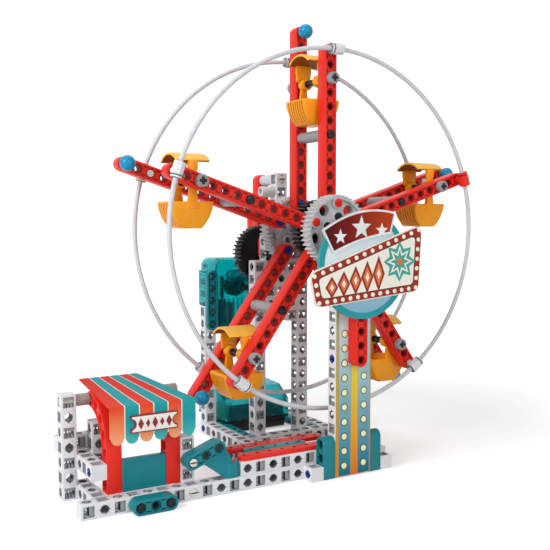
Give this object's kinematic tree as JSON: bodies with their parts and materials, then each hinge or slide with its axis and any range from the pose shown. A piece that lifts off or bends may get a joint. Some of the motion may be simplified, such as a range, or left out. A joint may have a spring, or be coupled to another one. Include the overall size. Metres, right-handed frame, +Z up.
{
  "type": "motorised toy ferris wheel",
  "caption": "Toy ferris wheel built from grid beams, links, pins and gears, with hanging gondolas, tube rims, a ticket booth, a ramp, a sign and an open motor gear train.",
  "frame": {"origin": "the middle of the footprint, on the table", "axes": "+X to the right along the wheel's face, +Y to the back along the wheel's axle, +Z up"},
  "size_m": [0.3432, 0.2118, 0.3305],
  "materials": {
    "beam_grey": "satin",
    "link_teal": "gloss",
    "beam_red": "gloss",
    "card_blue": "printed card",
    "awning_stripe": "printed sheet",
    "tube_brown": "satin",
    "board_teal": "printed board",
    "board_red": "printed board",
    "board_cream": "printed board",
    "tube_white": "gloss",
    "case_clear_teal": "clear tinted",
    "metal_can": "satin",
    "black_plastic": "satin",
    "cell_wrap": "foil wrap",
    "pin_blue": "gloss",
    "pin_light": "gloss",
    "brass_worm": "turned",
    "knob_blue": "gloss",
    "grey_plastic": "satin",
    "gondola_orange": "gloss"
  },
  "bodies": {
    "stand": {"base_front_beam": "beam_grey", "base_cross_beams": "beam_grey", "base_foot_beams": "beam_grey", "base_rails": "beam_grey", "short_beams": "beam_grey", "short_posts": "beam_grey", "teal_links": "link_teal", "flat_strips_teal": "link_teal", "flat_strips_red": "beam_red", "ramp_arm": "link_teal", "column_posts": "beam_grey", "column_blocks": "beam_grey", "column_card": "card_blue", "booth_corner_post": "beam_grey", "booth_side_beams": "beam_grey", "booth_roof_tube": "tube_brown", "booth_bent_beams": "beam_red", "booth_panels": "link_teal", "booth_awning": "awning_stripe", "sign_mast": "beam_red", "sign_disc": "board_teal", "sign_banner": "board_red", "sign_marquee": "board_cream", "tower_posts": "beam_grey", "tower_connectors": "beam_grey", "tower_axle_post": "beam_grey", "tower_back_beam": "beam_red", "tower_rear_beam": "beam_red", "tower_spacers": "tube_white", "gearbox_shell": "case_clear_teal", "gearbox_motor": "metal_can", "battery_box": "black_plastic", "battery_lid": "case_clear_teal", "battery_cells": "cell_wrap", "stand_pins_blue": "pin_blue", "stand_pins_light": "pin_light", "motor_worm": "brass_worm"},
    "wheel": {"front_arms": "beam_red", "rear_arms": "beam_red", "front_rim": "tube_white", "rear_rim": "tube_white", "rim_clips": "pin_light", "arm_knobs": "knob_blue", "gondola_axles": "black_plastic", "axle_bushes": "grey_plastic", "arm_spacers": "grey_plastic", "hub_pins": "pin_blue", "main_axle": "black_plastic", "front_gear": "grey_plastic", "hub_gear": "black_plastic", "rear_gear": "grey_plastic"},
    "lay_shaft": {"lay_shaft": "black_plastic", "lay_gear": "black_plastic"},
    "output_shaft": {"output_shaft": "black_plastic"},
    "power_switch": {"power_switch": "black_plastic"},
    "gondola_1": {"gondola_1": "gondola_orange"},
    "gondola_2": {"gondola_2": "gondola_orange"},
    "gondola_3": {"gondola_3": "gondola_orange"},
    "gondola_4": {"gondola_4": "gondola_orange"},
    "gondola_5": {"gondola_5": "gondola_orange"}
  },
  "joints": [
    {"name": "wheel_spin", "type": "hinge", "parent": "stand", "child": "wheel", "pos_m": [0.02342, -0.03585, 0.175], "axis": [0, 1, 0], "continuous": true},
    {"name": "gondola_1_swing", "type": "hinge", "parent": "wheel", "child": "gondola_1", "pos_m": [0.12804, -0.03585, 0.20899], "axis": [0, 1, 0], "continuous": true},
    {"name": "gondola_2_swing", "type": "hinge", "parent": "wheel", "child": "gondola_2", "pos_m": [0.02342, -0.03585, 0.285], "axis": [0, 1, 0], "continuous": true},
    {"name": "gondola_3_swing", "type": "hinge", "parent": "wheel", "child": "gondola_3", "pos_m": [-0.0812, -0.03585, 0.20899], "axis": [0, 1, 0], "continuous": true},
    {"name": "gondola_4_swing", "type": "hinge", "parent": "wheel", "child": "gondola_4", "pos_m": [-0.04124, -0.03585, 0.08601], "axis": [0, 1, 0], "continuous": true},
    {"name": "gondola_5_swing", "type": "hinge", "parent": "wheel", "child": "gondola_5", "pos_m": [0.08808, -0.03585, 0.08601], "axis": [0, 1, 0], "continuous": true},
    {"name": "lay_shaft_spin", "type": "hinge", "parent": "stand", "child": "lay_shaft", "pos_m": [0.01342, 0.01415, 0.155], "axis": [0, 1, 0], "continuous": true},
    {"name": "output_shaft_spin", "type": "hinge", "parent": "stand", "child": "output_shaft", "pos_m": [0.01342, 0.06415, 0.125], "axis": [0, 1, 0], "continuous": true},
    {"name": "power_switch_slide", "type": "slide", "parent": "stand", "child": "power_switch", "axis": [1, 0, 0], "range_m": [0, 0.0046]}
  ],
  "couplings": [
    {"joint": "gondola_1_swing", "follows": "wheel_spin", "ratio": -1},
    {"joint": "gondola_2_swing", "follows": "wheel_spin", "ratio": -1},
    {"joint": "gondola_3_swing", "follows": "wheel_spin", "ratio": -1},
    {"joint": "gondola_4_swing", "follows": "wheel_spin", "ratio": -1},
    {"joint": "gondola_5_swing", "follows": "wheel_spin", "ratio": -1},
    {"joint": "lay_shaft_spin", "follows": "wheel_spin", "ratio": -2.7273},
    {"joint": "output_shaft_spin", "follows": "wheel_spin", "ratio": 7.2727}
  ]
}
